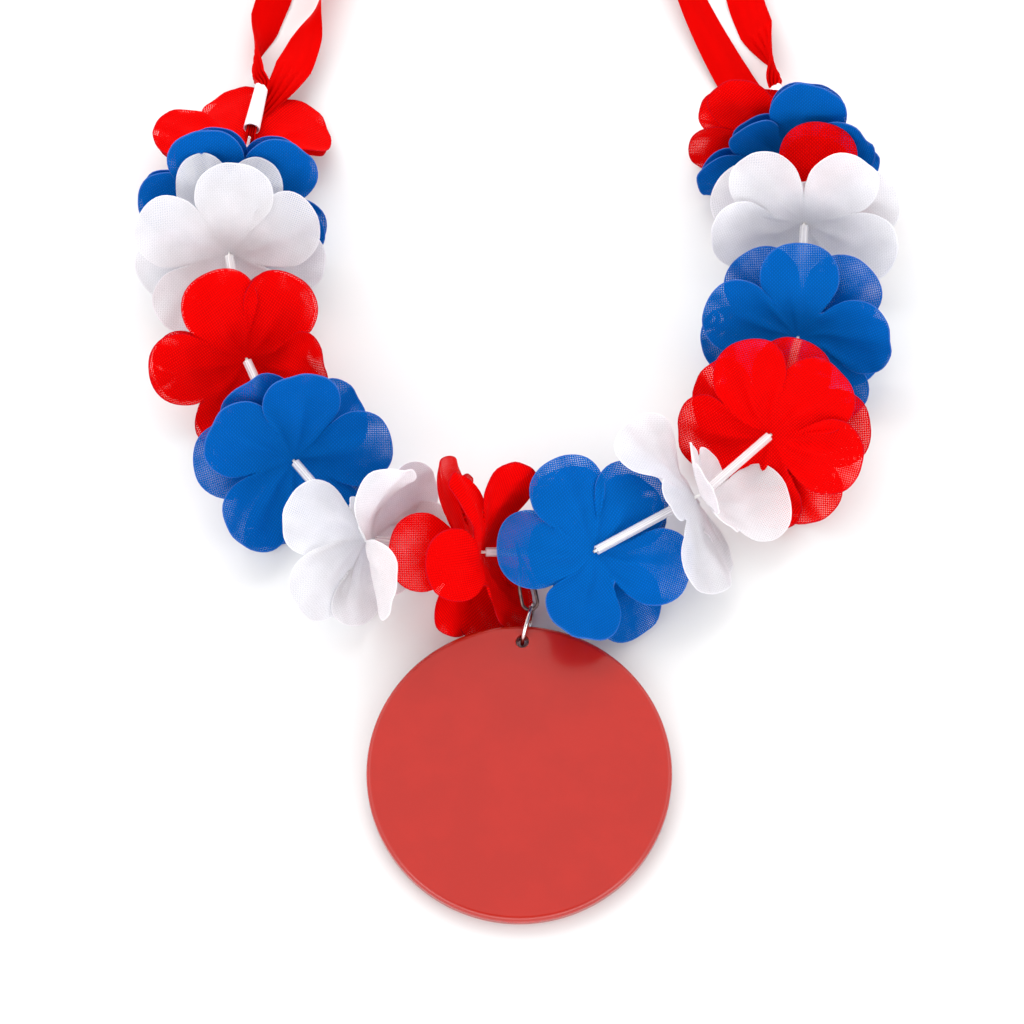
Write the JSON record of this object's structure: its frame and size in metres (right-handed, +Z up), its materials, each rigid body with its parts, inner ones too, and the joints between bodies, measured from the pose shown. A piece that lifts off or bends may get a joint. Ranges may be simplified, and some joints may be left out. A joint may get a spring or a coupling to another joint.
{
  "type": "fabric flower lei necklace",
  "caption": "Lei necklace of red, white and blue fabric flowers on a cord with tube spacers, a red satin ribbon neck band and a round red medallion.",
  "frame": {"origin": "centre of the laid-out necklace on the surface that it lies on", "axes": "+Z up from the surface, +Y from the medallion towards the ribbon neck band, +X to the right seen from above with the neck band at the top"},
  "size_m": [0.1972, 0.3794, 0.0409],
  "materials": {
    "fabric_red": "woven",
    "fabric_blue": "woven",
    "fabric_white": "woven",
    "spacer_plastic": "milky gloss",
    "sleeve_plastic": "milky gloss",
    "ribbon_satin": "satin",
    "cord_thread": "twisted",
    "medallion_plastic": "glossy",
    "ring_steel": "polished wire",
    "link_steel": "dark wire"
  },
  "bodies": {
    "garland": {"flower_01_red_front": "fabric_red", "flower_01_red_back": "fabric_red", "flower_02_blue_front": "fabric_blue", "flower_02_blue_back": "fabric_blue", "flower_03_white_front": "fabric_white", "flower_03_white_back": "fabric_white", "flower_04_red_front": "fabric_red", "flower_04_red_back": "fabric_red", "flower_05_blue_front": "fabric_blue", "flower_05_blue_back": "fabric_blue", "flower_06_white_front": "fabric_white", "flower_06_white_back": "fabric_white", "flower_07_red_front": "fabric_red", "flower_07_red_back": "fabric_red", "flower_08_blue_front": "fabric_blue", "flower_08_blue_back": "fabric_blue", "flower_09_white_front": "fabric_white", "flower_09_white_back": "fabric_white", "flower_10_red_front": "fabric_red", "flower_10_red_back": "fabric_red", "flower_11_blue_front": "fabric_blue", "flower_11_blue_back": "fabric_blue", "flower_12_white_front": "fabric_white", "flower_12_white_back": "fabric_white", "flower_13_red_front": "fabric_red", "flower_13_red_back": "fabric_red", "flower_14_blue_front": "fabric_blue", "flower_14_blue_back": "fabric_blue", "flower_15_red_front": "fabric_red", "flower_15_red_back": "fabric_red", "spacer_01": "spacer_plastic", "spacer_02": "spacer_plastic", "spacer_03": "spacer_plastic", "spacer_04": "spacer_plastic", "spacer_05": "spacer_plastic", "spacer_06": "spacer_plastic", "spacer_07": "spacer_plastic", "spacer_08": "spacer_plastic", "spacer_09": "spacer_plastic", "spacer_10": "spacer_plastic", "spacer_11": "spacer_plastic", "spacer_13": "spacer_plastic", "sleeve_left": "sleeve_plastic", "sleeve_right": "sleeve_plastic", "cord": "cord_thread", "jump_ring": "ring_steel", "hanging_link": "link_steel", "ribbon": "ribbon_satin"},
    "medallion": {"medallion": "medallion_plastic"}
  },
  "joints": [
    {"name": "medallion_swing", "type": "hinge", "parent": "garland", "child": "medallion", "pos_m": [0.0028, -0.11268, 0.0062], "axis": [-0.9659, 0.2588, 0], "range_deg": [0, 35]}
  ]
}
